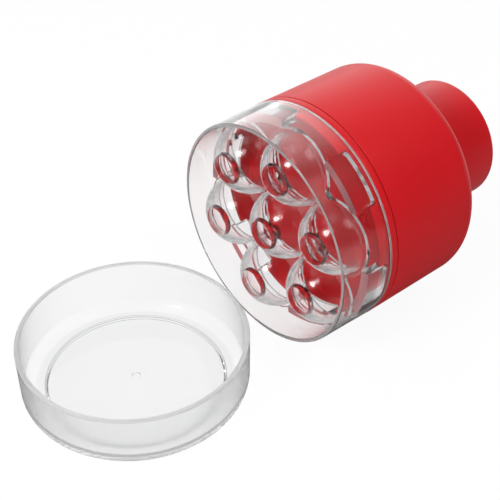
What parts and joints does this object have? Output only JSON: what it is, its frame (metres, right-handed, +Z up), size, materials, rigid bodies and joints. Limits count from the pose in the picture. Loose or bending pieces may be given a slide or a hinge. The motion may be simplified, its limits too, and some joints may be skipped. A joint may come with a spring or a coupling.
{
  "type": "cherry pitter",
  "caption": "Hand cherry pitter: red barrel with a sprung push handle, clear tray of cherry cups on its front, and a clear pit cup standing beside it.",
  "frame": {"origin": "centre of the pit cup's foot, on the table", "axes": "+X along the barrel from the cherry tray to the push handle, +Z up"},
  "size_m": [0.2026, 0.0947, 0.09],
  "materials": {
    "red_plastic": "fine satin moulded",
    "clear_plastic": "clear polished",
    "spring_steel": "drawn wire",
    "screw_steel": "zinc plated"
  },
  "bodies": {
    "barrel": {"body_shell": "red_plastic", "pin_guide": "red_plastic", "guide_screws": "screw_steel", "return_spring": "spring_steel"},
    "plunger": {"push_handle": "red_plastic", "pin_carrier": "red_plastic", "pit_pin_1": "red_plastic", "pit_pin_2": "red_plastic", "pit_pin_3": "red_plastic", "pit_pin_4": "red_plastic", "pit_pin_5": "red_plastic", "pit_pin_6": "red_plastic", "centre_pin": "red_plastic", "carrier_screws": "screw_steel"},
    "tray": {"cherry_tray": "clear_plastic"},
    "cup": {"pit_cup": "clear_plastic"}
  },
  "joints": [
    {"name": "plunger_press", "type": "slide", "parent": "barrel", "child": "plunger", "axis": [-1, 0, 0], "range_m": [0, 0.029], "stiffness_N_per_m": 600, "springref_m": -0.02, "deforming": ["return_spring"]},
    {"name": "tray_pull", "type": "slide", "parent": "barrel", "child": "tray", "axis": [-1, 0, 0], "range_m": [0, 0.01]},
    {"name": "cup_lift", "type": "slide", "parent": "barrel", "child": "cup", "axis": [0, 0, 1], "range_m": [0, 0.06]}
  ]
}
